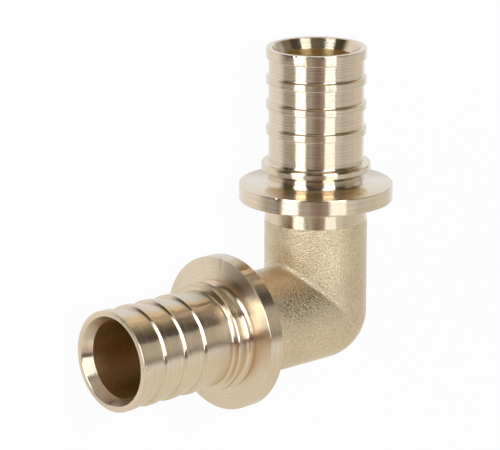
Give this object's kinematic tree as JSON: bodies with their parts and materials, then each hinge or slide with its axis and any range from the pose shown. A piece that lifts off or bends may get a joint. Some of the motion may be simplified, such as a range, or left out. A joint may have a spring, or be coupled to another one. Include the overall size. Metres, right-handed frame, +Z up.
{
  "type": "pex sleeve elbow",
  "caption": "One-piece brass pipe elbow at a right angle: each leg has a barbed spigot, a collar, a groove and a flange that stops a pressed sleeve, and the corner is forged and blasted.",
  "frame": {"origin": "middle of the footprint, on the surface that the elbow lies on", "axes": "the elbow lies on its two flange rims; +X and +Y point along the two legs from the corner to the spigots, +Z is up, across both legs"},
  "size_m": [0.0596, 0.0596, 0.0265],
  "materials": {
    "brass": "turned and bright on the legs, fine blasted grain on the forged corner"
  },
  "bodies": {
    "root": {"elbow": "brass"}
  },
  "joints": []
}
